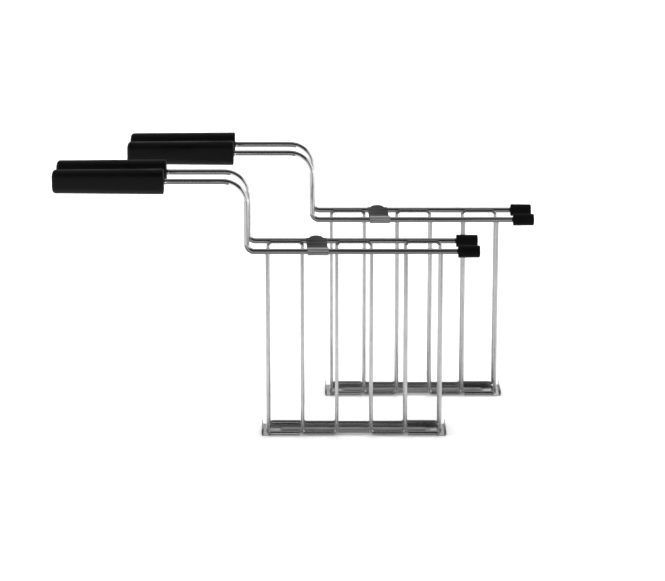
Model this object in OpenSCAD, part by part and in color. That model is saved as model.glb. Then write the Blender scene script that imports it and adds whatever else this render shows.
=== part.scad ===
// Pair of sandwich racks for a slot toaster, standing one behind the other.
// Each rack is a folded base tray, two wire cage panels hinged on it, a rail rod with
// handle and end cap on each panel, and a latch clip that lies across the two rails.
// X runs along the rails with the handles at -X, Y across the racks, Z up.
// The origin is the middle of the pair at the level that the trays stand on.

/* [Cage] */
// Diameter of the cage wire
wire_d = 2.5; // [2:0.1:3]
// Upright wires in each panel, an even number
wire_count = 6; // [4:2:8]
// Spacing of the upright wires
wire_pitch = 25; // [20:1:30]
// Centre-line radius where a wire turns into the next one
wire_bend_r = 3; // [2.5:0.5:6]
// Centre-line radius where an outer wire turns into its hinge pin
pin_bend_r = 2; // [1.8:0.1:3]
// Distance between the two hinge axes of a rack
hinge_gap = 26.6; // [24:0.2:36]

/* [Rail rod] */
// Diameter of the rail rod
rod_d = 4; // [3:0.5:5]
// Height of the rail's centre line above the tray's underside
rail_z = 138.9; // [110:1:160]
// Rise from the rail to the handle's centre line
handle_rise = 51.1; // [42:1:70]
// Distance from the first upright wire to the rod's neck
neck_offset = 14.5; // [12:0.5:25]
// Length of rod from the neck to the handle
neck_reach = 58.6; // [40:1:80]
// Centre-line radius of the bend below the handle
neck_bend_r = 17; // [12:1:20]
// Centre-line radius of the bend into the rail
rail_bend_r = 5.3; // [4:0.5:8]
// Distance from the last upright wire to the end of the cap
rail_overhang = 27.5; // [24:1:40]

/* [Handle] */
// Length of the handle
handle_len = 79.5; // [70:1:110]
// Thickness of the handle across the rack
handle_depth = 13; // [11:0.5:16]
// Height of the handle at the end where the rod goes in
handle_h_inner = 17.8; // [16:0.5:22]
// Height of the handle at its free end
handle_h_outer = 16.6; // [14:0.5:20]
// Corner radius of the handle's section
handle_corner_r = 5; // [3:0.5:5]
// Rounding of the end where the rod goes in
handle_inner_round = 0.9; // [0.5:0.1:2]
// Rounding of the free end, along the handle
handle_outer_round = 2.6; // [1:0.2:4]
// Length of rod held inside the handle
handle_grip = 60; // [40:1:65]

/* [End cap] */
// Length of the end cap
cap_len = 15.7; // [12:0.5:20]
// Diameter of the cap at its open end
cap_d = 9.1; // [8:0.1:11]
// Diameter of the cap at its closed end
cap_nose_d = 8.8; // [7.6:0.1:10.6]
// Edge radius of the closed end
cap_edge_r = 1.1; // [0.6:0.1:1.5]
// Thickness of the closed end
cap_end_t = 2; // [1.6:0.1:3]

/* [Base tray] */
// Thickness of the tray's sheet
sheet_t = 0.5; // [0.4:0.05:0.7]
// Distance from the outer wire to the outside of the tray's end
tray_margin = 4.85; // [4:0.1:8]
// Height of the tray's side walls
tray_wall_h = 3.4; // [2.5:0.1:5]
// Height of the tray's end flanges
tray_end_h = 3.8; // [3:0.1:6]
// Outside radius of the tray's folds
fold_r = 1.6; // [1:0.1:2]
// How far the tray's ends reach past the hinge axes
tray_end_reach = 1; // [0.5:0.1:2]
// Width of the pressed rib along the tray
rib_w = 6; // [4:0.5:9]
// Height of the pressed rib above the floor
rib_h = 1.6; // [1:0.1:1.9]
// Distance from the outer wire to the end of the rib
rib_inset = 8; // [5:1:15]
// Width of the seam in a rolled knuckle
seam_w = 0.3; // [0.2:0.1:0.5]

/* [Latch clip] */
// Width of the clip along the rail
clip_w = 15; // [10:0.5:16]
// Thickness of the clip's sheet
clip_t = 0.8; // [0.5:0.1:1]
// Distance of the clip from the middle of its bay
clip_shift = -0.9; // [-1:0.1:1]
// Diameter of the rounded finger tab
tab_d = 10.2; // [7:0.2:10.4]
// How far short of the back rail's middle the clip's shoulders end
shoulder_back = 1; // [0:0.1:2]
// Corner radius of the clip's shoulders
shoulder_r = 0.8; // [0.4:0.1:1.5]
// Angle below level at which the rolled barrel's edge ends
barrel_end_deg = 15; // [0:5:30]

/* [Pair] */
// Distance from one rack to the next along the rails
pair_dx = 46; // [0:1:80]
// Distance from one rack to the next across the rails
pair_dy = 102; // [90:1:160]

/* [Fits] */
// Radial clearance of a hinge pin in its knuckle
pin_clear = 0.08; // [0.02:0.01:0.1]
// Radial clearance of the clip's barrel on its rail, and of the clip over the back rail
clip_clear = 0.08; // [0.02:0.01:0.1]
// Gap between the cage wires and the tray's side walls
wall_gap = 0.2; // [0.1:0.05:0.5]
// How far a welded wire sinks into the rail rod
weld_sink = 0.1; // [0.05:0.05:0.2]
// How far the rod is larger than the bore of its handle or cap, in radius
press_bite = 0.05; // [0.02:0.01:0.1]

/* [Hidden] */

// Sides of a rack
FRONT = -1;
BACK = 1;

// Colours
STEEL = [0.78, 0.78, 0.80];
WIRE = [0.72, 0.72, 0.74];
TRAY = [0.66, 0.66, 0.69];
CLIP = [0.50, 0.50, 0.52];
BLACK = [0.07, 0.07, 0.07];

// Faces of a full circle and of a handle slice, angle between the slices of a rounded
// end, and their thickness
round_fn = 64;
slice_fn = 24;
round_step = 22.5;
slice_t = 0.01;
right_angle = 90;

// Radii
wire_r = wire_d / 2;
rod_r = rod_d / 2;
knuckle_bore_r = wire_r + pin_clear;
knuckle_r = knuckle_bore_r + sheet_t;
barrel_bore_r = rod_r + clip_clear;
barrel_r = barrel_bore_r + clip_t;

// Across the rack: hinge axes, rod centre lines and the tray's side walls
hinge_y = hinge_gap / 2;
hinge_z = knuckle_r;
rod_y = hinge_y + wire_r + rod_r - weld_sink;
wall_y = hinge_y - wire_r - wall_gap;
tray_end_y = hinge_y + tray_end_reach;

// Along the rack: wires, neck, handle, cap and tray ends
wire_half = (wire_count - 1) * wire_pitch / 2;
function wire_x(i) = i * wire_pitch - wire_half;
neck_x = -wire_half - neck_offset;
handle_inner_x = neck_x - neck_reach;
handle_outer_x = handle_inner_x - handle_len;
cap_end_x = wire_half + rail_overhang;
handle_z = rail_z + handle_rise;
tray_half = wire_half + tray_margin;

// Knuckles: from the end of the pin's bend almost to the next wire
knuckle_outer_x = wire_half - pin_bend_r - pin_clear;
knuckle_inner_x = wire_half - wire_pitch + wire_r + 2 * seam_w;
pin_end_x = knuckle_inner_x + seam_w;

// Rib: its circle gives the stated width and height above the floor
rib_r = (rib_w * rib_w / 4 + rib_h * rib_h) / (2 * rib_h);
rib_z = sheet_t + rib_h - rib_r;
rib_half = wire_half - rib_inset;

// Clip: its plate leaves the underside of the barrel and climbs over the back rail.
// The plate starts inside the barrel's wall and is a hair thinner than it on each side.
clip_x = wire_x(1) + wire_pitch / 2 + clip_shift;
plate_root = clip_t / 3;
plate_ledge = clip_t / 25;
clip_deg = asin((barrel_r - plate_ledge + rod_r + clip_clear) / (2 * rod_y));
clip_reach = 2 * rod_y * cos(clip_deg) - shoulder_back;
tab_r = tab_d / 2;
// The tab is a round tongue whose centre lies just inside the shoulders
tab_inset = tab_r / 12;

// Middle of the pair, and the place of each rack's own middle
pair_mid_x = (handle_outer_x + cap_end_x + pair_dx) / 2;
pair_mid_y = pair_dy / 2;
rack_at = [[-pair_mid_x, -pair_mid_y], [pair_dx - pair_mid_x, pair_dy - pair_mid_y]];

$fn = round_fn;

// A round bar whose centre line follows right-angled corners in the XZ plane.
// path holds [x, z] corners and bends one centre-line radius for each inner corner.
module bent_bar(path, bends, bar_r) {
    last = len(path) - 1;
    for (i = [0:last - 1]) {
        start_trim = i == 0 ? 0 : bends[i - 1];
        end_trim = i == last - 1 ? 0 : bends[i];
        bar_run(path[i], path[i + 1], start_trim, end_trim, bar_r);
    }
    for (i = [1:last - 1])
        bar_corner(path[i - 1], path[i], path[i + 1], bends[i - 1], bar_r);
}

// One straight run between two corners, shortened for the bend at each end
module bar_run(from, to, start_trim, end_trim, bar_r) {
    run = norm(to - from);
    dir = (to - from) / run;
    start = from + dir * start_trim;
    translate([start[0], 0, start[1]])
        rotate([0, atan2(dir[0], dir[1]), 0])
            cylinder(h = run - start_trim - end_trim, r = bar_r);
}

// One quarter bend at the corner between two runs
module bar_corner(before, corner, after, bend_r, bar_r) {
    dir_in = (corner - before) / norm(corner - before);
    dir_out = (after - corner) / norm(after - corner);
    centre = corner + (dir_out - dir_in) * bend_r;
    first = cross(dir_in, dir_out) > 0 ? -dir_out : dir_in;
    translate([centre[0], 0, centre[1]])
        rotate([right_angle, 0, 0])
            rotate([0, 0, atan2(first[1], first[0])])
                rotate_extrude(angle = right_angle)
                    translate([bend_r, 0])
                        circle(r = bar_r);
}

// A rectangle about the origin with round corners
module rounded_slab(width, height, corner_r) {
    square([width - 2 * corner_r, height], center = true);
    square([width, height - 2 * corner_r], center = true);
    for (x = [-1, 1], y = [-1, 1])
        translate([x * (width / 2 - corner_r), y * (height / 2 - corner_r)])
            circle(r = corner_r);
}

// Rail rod: handle tang, neck, rail and the end inside the cap
module rail_rod(side) {
    path = [
        [handle_inner_x - handle_grip, handle_z],
        [neck_x, handle_z],
        [neck_x, rail_z],
        [cap_end_x - cap_end_t, rail_z],
    ];
    translate([0, side * rod_y, 0])
        bent_bar(path, [neck_bend_r, rail_bend_r], rod_r);
}

// Cage panel: one wire that runs up and down and ends in two hinge pins
module cage_wires(side) {
    uprights = [
        for (i = [0:wire_count - 1])
            each i % 2 == 0
                ? [[wire_x(i), hinge_z], [wire_x(i), rail_z]]
                : [[wire_x(i), rail_z], [wire_x(i), hinge_z]]
    ];
    path = concat([[-pin_end_x, hinge_z]], uprights, [[pin_end_x, hinge_z]]);
    bends = [
        for (i = [1:len(path) - 2])
            i == 1 || i == len(path) - 2 ? pin_bend_r : wire_bend_r
    ];
    translate([0, side * hinge_y, 0])
        bent_bar(path, bends, wire_r);
}

// One slice of the handle, inset by the amount that the end's rounding takes off there
module handle_slice(x, height, inset) {
    translate([x, 0, handle_z])
        rotate([0, right_angle, 0])
            linear_extrude(slice_t)
                rounded_slab(
                    height - 2 * inset,
                    handle_depth - 2 * inset,
                    handle_corner_r - inset
                );
}

// Moulded handle: a tapering grip with round edges and a blind bore for the rod
module grip(side) {
    translate([0, side * rod_y, 0])
        difference() {
            hull() {
                for (a = [0:round_step:right_angle]) {
                    $fn = slice_fn;
                    handle_slice(
                        handle_outer_x + handle_outer_round * (1 - sin(a)),
                        handle_h_outer,
                        handle_outer_round * (1 - cos(a))
                    );
                    handle_slice(
                        handle_inner_x - handle_inner_round * (1 - sin(a)) - slice_t,
                        handle_h_inner,
                        handle_inner_round * (1 - cos(a))
                    );
                }
            }
            translate([handle_inner_x - handle_grip, 0, handle_z])
                rotate([0, right_angle, 0])
                    cylinder(h = handle_grip + handle_inner_round, r = rod_r - press_bite);
        }
}

// End cap: a slightly tapered sleeve with a closed, rounded nose
module end_cap(side) {
    open_r = cap_d / 2;
    nose_r = cap_nose_d / 2;
    translate([cap_end_x - cap_len, side * rod_y, rail_z])
        rotate([0, right_angle, 0])
            difference() {
                rotate_extrude() {
                    polygon([
                        [0, 0],
                        [open_r, 0],
                        [nose_r, cap_len - cap_edge_r],
                        [nose_r - cap_edge_r, cap_len],
                        [0, cap_len],
                    ]);
                    translate([nose_r - cap_edge_r, cap_len - cap_edge_r])
                        intersection() {
                            circle(r = cap_edge_r);
                            square(cap_edge_r);
                        }
                }
                translate([0, 0, -cap_end_t])
                    cylinder(h = cap_len, r = rod_r - press_bite);
            }
}

// Outline of a folded strip: flat floor that turns up at both ends
module folded_strip(half, height) {
    module filled(inset, corner_r) {
        translate([-half + inset, corner_r + inset])
            square([2 * (half - inset), height]);
        translate([-half + inset + corner_r, inset])
            square([2 * (half - inset - corner_r), height]);
        for (x = [-1, 1])
            translate([x * (half - inset - corner_r), inset + corner_r])
                circle(r = corner_r);
    }
    intersection() {
        difference() {
            filled(0, fold_r);
            filled(sheet_t, fold_r - sheet_t);
        }
        translate([-half, 0])
            square([2 * half, height]);
    }
}

// Solid that follows the pressed rib, thinned all round by the stated amount
module rib_form(inset) {
    form_r = rib_r - inset;
    run = rib_half - rib_w / 2;
    intersection() {
        union() {
            translate([-run, 0, rib_z])
                rotate([0, right_angle, 0])
                    cylinder(h = 2 * run, r = form_r);
            for (x = [-run, run])
                translate([x, 0, rib_z])
                    sphere(r = form_r);
        }
        translate([-rib_half - rib_w, -rib_w, 0])
            cube([2 * (rib_half + rib_w), 2 * rib_w, sheet_t + rib_h]);
    }
}

// Section of the tray through its rolled knuckles, drawn in the YZ plane
module knuckle_section() {
    difference() {
        union() {
            for (side = [FRONT, BACK])
                translate([side * hinge_y, hinge_z])
                    circle(r = knuckle_r);
            translate([-hinge_y, 0])
                square([hinge_gap, sheet_t]);
        }
        for (side = [FRONT, BACK]) {
            translate([side * hinge_y, hinge_z])
                circle(r = knuckle_bore_r);
            translate([side * (hinge_y - knuckle_r), sheet_t + seam_w / 2])
                square([2 * sheet_t, seam_w], center = true);
        }
    }
}

// Base tray: floor with pressed rib, side walls, rolled knuckles and end flanges
module base_tray() {
    end_half = tray_half - knuckle_outer_x;
    knuckle_len = knuckle_outer_x - knuckle_inner_x;
    difference() {
        union() {
            rotate([right_angle, 0, right_angle])
                translate([0, 0, -knuckle_inner_x])
                    linear_extrude(2 * knuckle_inner_x)
                        folded_strip(wall_y, tray_wall_h);
            for (x = [-knuckle_outer_x, knuckle_inner_x])
                translate([x, 0, 0])
                    rotate([right_angle, 0, right_angle])
                        linear_extrude(knuckle_len)
                            knuckle_section();
            intersection() {
                translate([0, tray_end_y, 0])
                    rotate([right_angle, 0, 0])
                        linear_extrude(2 * tray_end_y)
                            folded_strip(tray_half, tray_end_h);
                for (x = [-tray_half, tray_half - end_half])
                    translate([x, -tray_end_y, 0])
                        cube([end_half, 2 * tray_end_y, tray_end_h]);
            }
            rib_form(0);
        }
        rib_form(sheet_t);
    }
}

// Barrel of the clip in the YZ plane about the front rail, open where the plate leaves it
module barrel_section() {
    wedge_r = 2 * barrel_r;
    plate_deg = clip_deg - right_angle;
    difference() {
        circle(r = barrel_r);
        circle(r = barrel_bore_r);
        polygon([
            [0, 0],
            wedge_r * [cos(plate_deg), sin(plate_deg)],
            wedge_r * [1, -1],
            wedge_r * [cos(barrel_end_deg), -sin(barrel_end_deg)],
        ]);
    }
}

// Plan of the clip's plate: full width to the shoulders, then a round tab
module plate_plan() {
    translate([-clip_w / 2, -plate_root])
        square([clip_w, plate_root + clip_reach - shoulder_r]);
    translate([shoulder_r - clip_w / 2, -plate_root])
        square([clip_w - 2 * shoulder_r, plate_root + clip_reach]);
    for (side = [-1, 1])
        translate([side * (clip_w / 2 - shoulder_r), clip_reach - shoulder_r])
            circle(r = shoulder_r);
    translate([0, clip_reach - tab_inset])
        circle(r = tab_r);
}

// Latch clip: turns on the front rail and lies over the back rail
module latch_clip() {
    translate([clip_x, FRONT * rod_y, rail_z]) {
        translate([-clip_w / 2, 0, 0])
            rotate([right_angle, 0, right_angle])
                linear_extrude(clip_w)
                    barrel_section();
        rotate([clip_deg, 0, 0])
            translate([0, 0, plate_ledge - barrel_r])
                linear_extrude(clip_t - 2 * plate_ledge)
                    plate_plan();
    }
}

// Puts a piece on the front rack, 0, or on the back rack, 1
module on_rack(k) {
    translate([rack_at[k][0], rack_at[k][1], 0])
        children();
}

module rack1_tray() { color(TRAY) on_rack(0) base_tray(); }
module rack1_clip() { color(CLIP) on_rack(0) latch_clip(); }
module rack1_front_rod() { color(STEEL) on_rack(0) rail_rod(FRONT); }
module rack1_front_wires() { color(WIRE) on_rack(0) cage_wires(FRONT); }
module rack1_front_handle() { color(BLACK) on_rack(0) grip(FRONT); }
module rack1_front_cap() { color(BLACK) on_rack(0) end_cap(FRONT); }
module rack1_back_rod() { color(STEEL) on_rack(0) rail_rod(BACK); }
module rack1_back_wires() { color(WIRE) on_rack(0) cage_wires(BACK); }
module rack1_back_handle() { color(BLACK) on_rack(0) grip(BACK); }
module rack1_back_cap() { color(BLACK) on_rack(0) end_cap(BACK); }
module rack2_tray() { color(TRAY) on_rack(1) base_tray(); }
module rack2_clip() { color(CLIP) on_rack(1) latch_clip(); }
module rack2_front_rod() { color(STEEL) on_rack(1) rail_rod(FRONT); }
module rack2_front_wires() { color(WIRE) on_rack(1) cage_wires(FRONT); }
module rack2_front_handle() { color(BLACK) on_rack(1) grip(FRONT); }
module rack2_front_cap() { color(BLACK) on_rack(1) end_cap(FRONT); }
module rack2_back_rod() { color(STEEL) on_rack(1) rail_rod(BACK); }
module rack2_back_wires() { color(WIRE) on_rack(1) cage_wires(BACK); }
module rack2_back_handle() { color(BLACK) on_rack(1) grip(BACK); }
module rack2_back_cap() { color(BLACK) on_rack(1) end_cap(BACK); }

rack1_tray();
rack1_clip();
rack1_front_rod();
rack1_front_wires();
rack1_front_handle();
rack1_front_cap();
rack1_back_rod();
rack1_back_wires();
rack1_back_handle();
rack1_back_cap();
rack2_tray();
rack2_clip();
rack2_front_rod();
rack2_front_wires();
rack2_front_handle();
rack2_front_cap();
rack2_back_rod();
rack2_back_wires();
rack2_back_handle();
rack2_back_cap();
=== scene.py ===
"""Looks of two sandwich racks for a slot toaster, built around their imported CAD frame.

Every size is in millimetres, as in the part's source, until a mesh is handed over in metres.
The racks stand one behind the other on a white floor, as the photograph shows them.
"""

from __future__ import annotations

import logging
import math
from dataclasses import dataclass, field
from enum import Enum
from typing import Iterable, Optional, Sequence

import bmesh
import bpy
from mathutils import Matrix, Vector

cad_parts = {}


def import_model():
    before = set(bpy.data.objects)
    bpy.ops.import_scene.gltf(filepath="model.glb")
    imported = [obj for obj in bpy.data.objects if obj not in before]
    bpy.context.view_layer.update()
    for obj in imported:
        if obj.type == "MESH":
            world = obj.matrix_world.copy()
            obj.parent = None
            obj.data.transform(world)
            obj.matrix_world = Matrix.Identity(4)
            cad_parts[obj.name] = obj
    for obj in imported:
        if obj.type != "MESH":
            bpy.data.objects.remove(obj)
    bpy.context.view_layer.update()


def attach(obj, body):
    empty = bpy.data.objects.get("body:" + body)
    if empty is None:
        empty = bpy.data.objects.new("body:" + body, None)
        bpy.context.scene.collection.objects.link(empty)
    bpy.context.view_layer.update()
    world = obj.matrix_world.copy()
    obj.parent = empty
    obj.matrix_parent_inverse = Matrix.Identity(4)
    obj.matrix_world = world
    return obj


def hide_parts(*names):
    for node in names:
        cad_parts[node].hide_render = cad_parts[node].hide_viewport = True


LOG = logging.getLogger("racks")
MM = 0.001
QUARTER = math.radians(90)
FULL_TURN = math.radians(360)
BAR_ATTRIBUTE = "along_bar"
GRAIN_ALONG_X = (20.0, 1000.0, 1000.0)
SHARP_ANGLE = math.radians(40)


class Side(Enum):
    """The two cage panels of a rack, by the sign of Y on which they stand."""

    FRONT = -1
    BACK = 1

    @property
    def word(self) -> str:
        """The side's name as the CAD nodes spell it."""
        return self.name.lower()


# --------------------------------------------------------------------------- sizes


@dataclass(frozen=True)
class RackPlace:
    """Where one rack stands.

    Attributes:
        name: first word of the rack's node names.
        x: middle of the cage along the rails, in millimetres.
        y: middle of the cage across the rails, in millimetres.
    """

    name: str
    x: float
    y: float

    @property
    def offset(self) -> Vector:
        """The rack's own middle, on the floor, in millimetres."""
        return Vector((self.x, self.y, 0.0))


RACKS = (RackPlace("rack1", 39.55, -51.0), RackPlace("rack2", 85.55, 51.0))


# --------------------------------------------------------------------------- node graphs


class Graph:
    """The shader nodes of one material, added and joined in a line or two each."""

    def __init__(self, name: str) -> None:
        """Starts an empty material with a principled shader on its output.

        Args:
            name: name of the new material.
        """
        self.material = bpy.data.materials.new(name)
        self.material.use_nodes = True
        self.tree = self.material.node_tree
        self.tree.nodes.clear()
        self.output = self.add("ShaderNodeOutputMaterial")
        self.shader = self.add("ShaderNodeBsdfPrincipled")
        self.join(self.shader.outputs["BSDF"], self.output.inputs["Surface"])

    def add(self, kind: str, **settings: object) -> bpy.types.Node:
        """Adds a node.

        Args:
            kind: the node's type name.
            **settings: properties to set on it.

        Returns:
            The new node.
        """
        node = self.tree.nodes.new(kind)
        for key, value in settings.items():
            setattr(node, key, value)
        return node

    def join(self, source: bpy.types.NodeSocket, target: bpy.types.NodeSocket) -> None:
        """Links an output socket to an input socket."""
        self.tree.links.new(source, target)

    def feed(self, target: bpy.types.NodeSocket, value: object) -> None:
        """Links a socket to an input, or sets the input to a plain value.

        Args:
            target: the input.
            value: an output socket, a number or a tuple.
        """
        if isinstance(value, bpy.types.NodeSocket):
            self.join(value, target)
        else:
            target.default_value = value

    def place(
        self, scale: Sequence[float], move: Sequence[float] = (0.0, 0.0, 0.0)
    ) -> bpy.types.NodeSocket:
        """Object coordinates, stretched and moved.

        Args:
            scale: factor along each axis.
            move: shift along each axis, after the stretch.

        Returns:
            The mapped coordinates.
        """
        return self.mapped(self.add("ShaderNodeTexCoord").outputs["Object"], scale, move)

    def run(self, scale: Sequence[float]) -> bpy.types.NodeSocket:
        """Coordinates that follow a bent bar: its length, then the place on its section.

        Args:
            scale: factor along each of the three.

        Returns:
            The mapped coordinates, in millimetres times the scale.
        """
        source = self.add("ShaderNodeAttribute", attribute_name=BAR_ATTRIBUTE)
        return self.mapped(source.outputs["Vector"], scale)

    def mapped(
        self,
        source: bpy.types.NodeSocket,
        scale: Sequence[float],
        move: Sequence[float] = (0.0, 0.0, 0.0),
    ) -> bpy.types.NodeSocket:
        """Stretches and moves any coordinates.

        Args:
            source: the coordinates.
            scale: factor along each axis.
            move: shift along each axis.

        Returns:
            The mapped coordinates.
        """
        node = self.add("ShaderNodeMapping")
        self.join(source, node.inputs["Vector"])
        node.inputs["Scale"].default_value = tuple(scale)
        node.inputs["Location"].default_value = tuple(move)
        return node.outputs["Vector"]

    def noise(
        self,
        vector: bpy.types.NodeSocket,
        scale: float,
        detail: float = 3.0,
        roughness: float = 0.5,
    ) -> bpy.types.NodeSocket:
        """A noise texture.

        Args:
            vector: where it is read.
            scale: how fine it is.
            detail: number of finer layers.
            roughness: how strong the finer layers are.

        Returns:
            Its factor, around one half.
        """
        node = self.add("ShaderNodeTexNoise")
        self.join(vector, node.inputs["Vector"])
        node.inputs["Scale"].default_value = scale
        node.inputs["Detail"].default_value = detail
        node.inputs["Roughness"].default_value = roughness
        return node.outputs["Fac"]

    def cells(
        self, vector: bpy.types.NodeSocket, scale: float, smooth: float = 0.4
    ) -> bpy.types.NodeSocket:
        """A smooth cell texture, for pebbled grain.

        Args:
            vector: where it is read.
            scale: cells to the unit.
            smooth: how far neighbouring cells flow together.

        Returns:
            The distance to the nearest cell's middle.
        """
        node = self.add("ShaderNodeTexVoronoi", feature="SMOOTH_F1")
        self.join(vector, node.inputs["Vector"])
        node.inputs["Scale"].default_value = scale
        node.inputs["Smoothness"].default_value = smooth
        return node.outputs["Distance"]

    def span(
        self, value: bpy.types.NodeSocket, low: float, high: float, to_low: float, to_high: float
    ) -> bpy.types.NodeSocket:
        """Stretches a value from one range to another, and holds it inside the second.

        Args:
            value: what is stretched.
            low: value that becomes to_low.
            high: value that becomes to_high.
            to_low: result at low.
            to_high: result at high.

        Returns:
            The result.
        """
        node = self.add("ShaderNodeMapRange")
        self.join(value, node.inputs["Value"])
        for key, number in (
            ("From Min", low),
            ("From Max", high),
            ("To Min", to_low),
            ("To Max", to_high),
        ):
            node.inputs[key].default_value = number
        return node.outputs["Result"]

    def sum(self, *terms: tuple[bpy.types.NodeSocket, float]) -> bpy.types.NodeSocket:
        """Adds up values, each times its own weight.

        Args:
            *terms: pairs of a value and its weight.

        Returns:
            The weighted sum.
        """
        total: Optional[bpy.types.NodeSocket] = None
        for value, weight in terms:
            node = self.add("ShaderNodeMath", operation="MULTIPLY_ADD")
            self.join(value, node.inputs[0])
            node.inputs[1].default_value = weight
            self.feed(node.inputs[2], 0.0 if total is None else total)
            total = node.outputs[0]
        return total

    def wave(
        self, value: bpy.types.NodeSocket, rate: float, phase: float
    ) -> bpy.types.NodeSocket:
        """A smooth wave.

        Args:
            value: what it runs along.
            rate: radians to one unit of the value.
            phase: radians at nought.

        Returns:
            The wave, from 0 to 1.
        """
        turned = self.add("ShaderNodeMath", operation="MULTIPLY_ADD")
        self.join(value, turned.inputs[0])
        turned.inputs[1].default_value = rate
        turned.inputs[2].default_value = phase
        cosine = self.add("ShaderNodeMath", operation="COSINE")
        self.join(turned.outputs[0], cosine.inputs[0])
        return self.span(cosine.outputs[0], -1.0, 1.0, 0.0, 1.0)

    def blend(
        self, share: bpy.types.NodeSocket, low: Sequence[float], high: Sequence[float]
    ) -> bpy.types.NodeSocket:
        """Mixes two colours.

        Args:
            share: 0 for the first colour and 1 for the second.
            low: first colour.
            high: second colour.

        Returns:
            The mixed colour.
        """
        node = self.add("ShaderNodeMix", data_type="RGBA")
        self.join(share, node.inputs["Factor"])
        node.inputs[6].default_value = (*low, 1.0)
        node.inputs[7].default_value = (*high, 1.0)
        return node.outputs[2]

    def bump(self, height: bpy.types.NodeSocket, depth: float) -> None:
        """Roughens the shader's normal.

        Args:
            height: the relief, 0 to 1.
            depth: how deep the relief is, in millimetres.
        """
        node = self.add("ShaderNodeBump")
        node.inputs["Distance"].default_value = depth * MM
        self.join(height, node.inputs["Height"])
        self.join(node.outputs["Normal"], self.shader.inputs["Normal"])


def grey(level: float) -> tuple[float, float, float]:
    """A neutral colour."""
    return (level, level, level)


# --------------------------------------------------------------------------- finishes


@dataclass(frozen=True)
class DrawnSteel:
    """Stainless bar or wire, with draw lines that follow every bend.

    Attributes:
        name: material name.
        light: reflectance where the surface is cleanest.
        dark: reflectance in the draw lines.
        polish: lowest roughness.
        dull: highest roughness.
        line_depth: depth of the draw lines, in millimetres.
    """

    name: str
    light: float = 0.86
    dark: float = 0.74
    polish: float = 0.05
    dull: float = 0.12
    line_depth: float = 0.003

    def make(self) -> bpy.types.Material:
        """Builds the material."""
        graph = Graph(self.name)
        lines = graph.noise(graph.run((0.02, 2.4, 2.4)), 3.0, 4.0, 0.65)
        patches = graph.noise(graph.run((0.05, 0.2, 0.2)), 1.6, 3.0)
        specks = graph.noise(graph.run((0.8, 1.4, 1.4)), 2.2, 5.0, 0.7)
        worn = graph.span(graph.sum((lines, 0.6), (patches, 0.4)), 0.36, 0.64, 0.0, 1.0)
        graph.join(
            graph.blend(worn, grey(self.dark), grey(self.light)),
            graph.shader.inputs["Base Color"],
        )
        rough = graph.sum((lines, 0.45), (patches, 0.35), (specks, 0.2))
        graph.join(
            graph.span(rough, 0.35, 0.65, self.dull, self.polish),
            graph.shader.inputs["Roughness"],
        )
        graph.shader.inputs["Metallic"].default_value = 1.0
        graph.bump(graph.sum((lines, 0.8), (specks, 0.2)), self.line_depth)
        return graph.material


@dataclass(frozen=True)
class RolledSheet:
    """Stainless sheet with rolling lines, faint wipe marks and a little waviness, and, where end_x
    is given, painted shade on its turned-up ends.

    Attributes:
        name: material name.
        light: reflectance of the clean surface.
        dark: reflectance in the lines and marks.
        polish: lowest roughness.
        dull: highest roughness.
        line_depth: depth of the lines, in millimetres.
        middle_x: X of the tray's middle, in millimetres.
        end_x: distance from the middle at which the turned-up ends begin.
        end_tone: painted shade, the darker colour that those ends are given beside the rest.
    """

    name: str
    light: float = 0.78
    dark: float = 0.6
    polish: float = 0.08
    dull: float = 0.2
    line_depth: float = 0.004
    middle_x: float = 0.0
    end_x: Optional[float] = None
    # Painted shade: the darker colour of the turned-up ends.
    end_tone: float = 0.3

    def make(self) -> bpy.types.Material:
        """Builds the material."""
        graph = Graph(self.name)
        lines = graph.noise(graph.place(GRAIN_ALONG_X), 3.2, 4.0, 0.7)
        marks = graph.noise(graph.place((120.0, 160.0, 160.0)), 1.0, 4.0, 0.6)
        tone = graph.span(graph.sum((lines, 0.6), (marks, 0.4)), 0.36, 0.64, 0.0, 1.0)
        colour = graph.blend(tone, grey(self.dark), grey(self.light))
        # Painted shade on the turned-up ends, where end_x is given.
        if self.end_x is not None:
            colour = self._darker_ends(graph, colour)
        graph.join(colour, graph.shader.inputs["Base Color"])
        graph.join(
            graph.span(
                graph.sum((lines, 0.5), (marks, 0.5)), 0.36, 0.64, self.dull, self.polish
            ),
            graph.shader.inputs["Roughness"],
        )
        graph.shader.inputs["Metallic"].default_value = 1.0
        graph.bump(lines, self.line_depth)
        return graph.material

    def _darker_ends(
        self, graph: Graph, colour: bpy.types.NodeSocket
    ) -> bpy.types.NodeSocket:
        """Darkens the turned-up ends' colour: painted shade."""
        split = graph.add("ShaderNodeSeparateXYZ")
        graph.join(
            graph.place((1000.0, 0.0, 0.0), (-self.middle_x, 0.0, 0.0)), split.inputs[0]
        )
        away = graph.add("ShaderNodeMath", operation="ABSOLUTE")
        graph.join(split.outputs["X"], away.inputs[0])
        share = graph.span(away.outputs[0], self.end_x, self.end_x + 0.6, 0.0, 1.0)
        both = graph.add("ShaderNodeMix", data_type="RGBA")
        graph.join(share, both.inputs["Factor"])
        graph.join(colour, both.inputs[6])
        both.inputs[7].default_value = (*grey(self.end_tone), 1.0)
        return both.outputs[2]


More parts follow.
